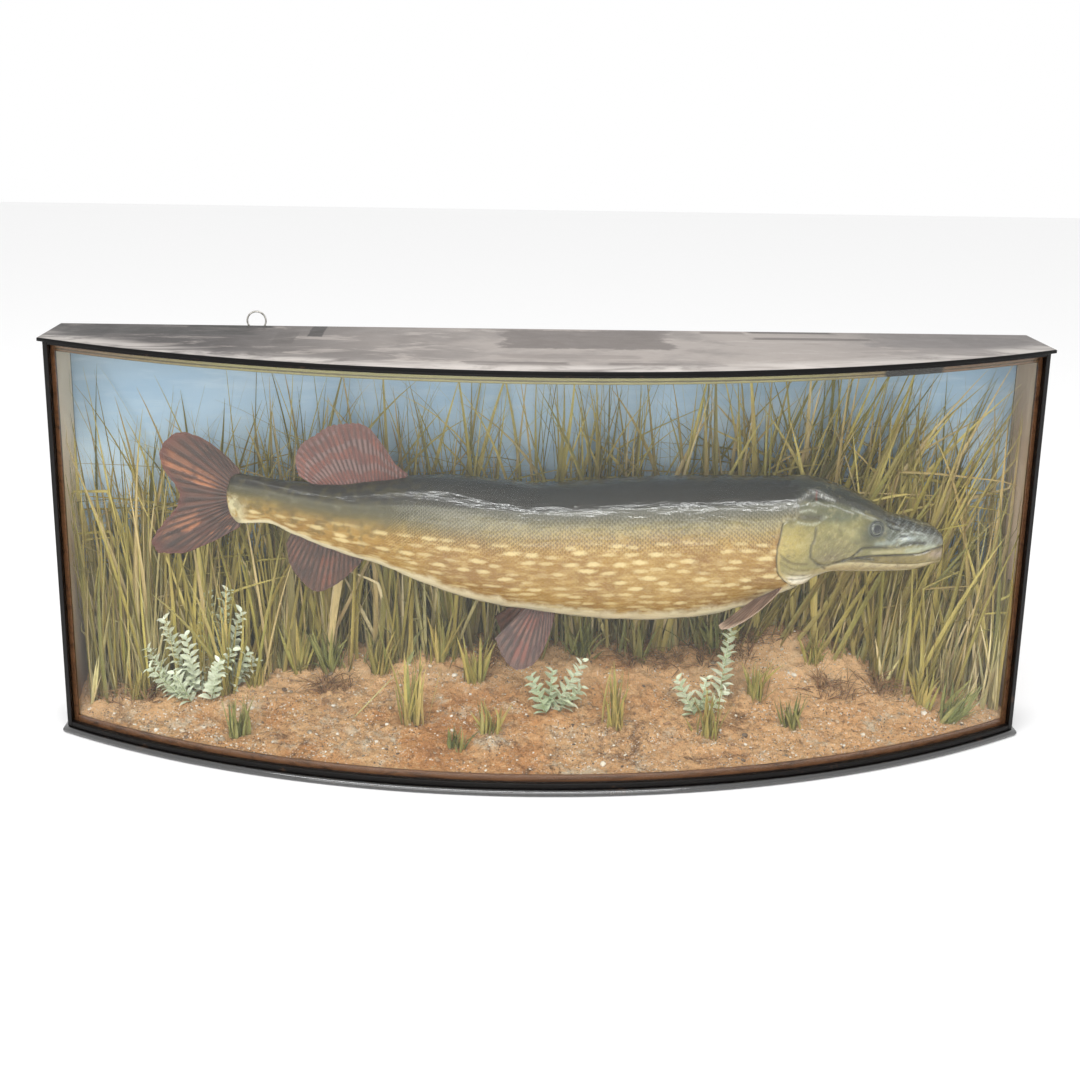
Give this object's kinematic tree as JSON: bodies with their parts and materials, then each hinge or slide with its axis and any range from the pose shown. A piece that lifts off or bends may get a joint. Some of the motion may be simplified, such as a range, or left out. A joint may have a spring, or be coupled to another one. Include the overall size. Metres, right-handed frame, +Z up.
{
  "type": "mounted pike",
  "caption": "Still mounted pike in a bow-fronted glazed display case with painted back board, sand groundwork, reeds and wall hangers",
  "frame": {"origin": "middle of the case's footprint, on the surface that it stands on", "axes": "+X towards the fish's head, along the case; +Y from the bowed glass to the back board; +Z up"},
  "size_m": [1.32, 0.3366, 0.5633],
  "materials": {
    "ebonised_wood": "gloss",
    "lid_paint": "matte",
    "brown_wood": "satin",
    "cream_paint": "matte",
    "sky_paint": "matte",
    "glass": "polished",
    "old_brass": "satin",
    "sand": "matte",
    "skin": "gloss",
    "fin_skin": "satin",
    "eye_glass": "gloss"
  },
  "bodies": {
    "root": {"base_board": "ebonised_wood", "bottom_rail": "ebonised_wood", "top_rail": "ebonised_wood", "post_left": "ebonised_wood", "post_right": "ebonised_wood", "support_rod_front": "ebonised_wood", "support_rod_rear": "ebonised_wood", "lid_board": "lid_paint", "slip_bottom": "brown_wood", "slip_top": "brown_wood", "slip_left": "brown_wood", "slip_right": "brown_wood", "side_wall_left": "cream_paint", "side_wall_right": "cream_paint", "back_board": "sky_paint", "front_glass": "glass", "hanger_plate_left": "old_brass", "hanger_plate_right": "old_brass", "hanger_ring_left": "old_brass", "hanger_ring_right": "old_brass", "groundwork": "sand", "head": "skin", "lower_jaw": "skin", "gill_cover_right": "skin", "gill_cover_left": "skin", "trunk_front": "skin", "trunk_middle": "skin", "trunk_rear": "skin", "tail_stock": "skin", "caudal_fin": "fin_skin", "dorsal_fin": "fin_skin", "anal_fin": "fin_skin", "pelvic_fin_right": "fin_skin", "pelvic_fin_left": "fin_skin", "pectoral_fin_right": "fin_skin", "pectoral_fin_left": "fin_skin", "eye_right": "eye_glass", "eye_left": "eye_glass"}
  },
  "joints": []
}
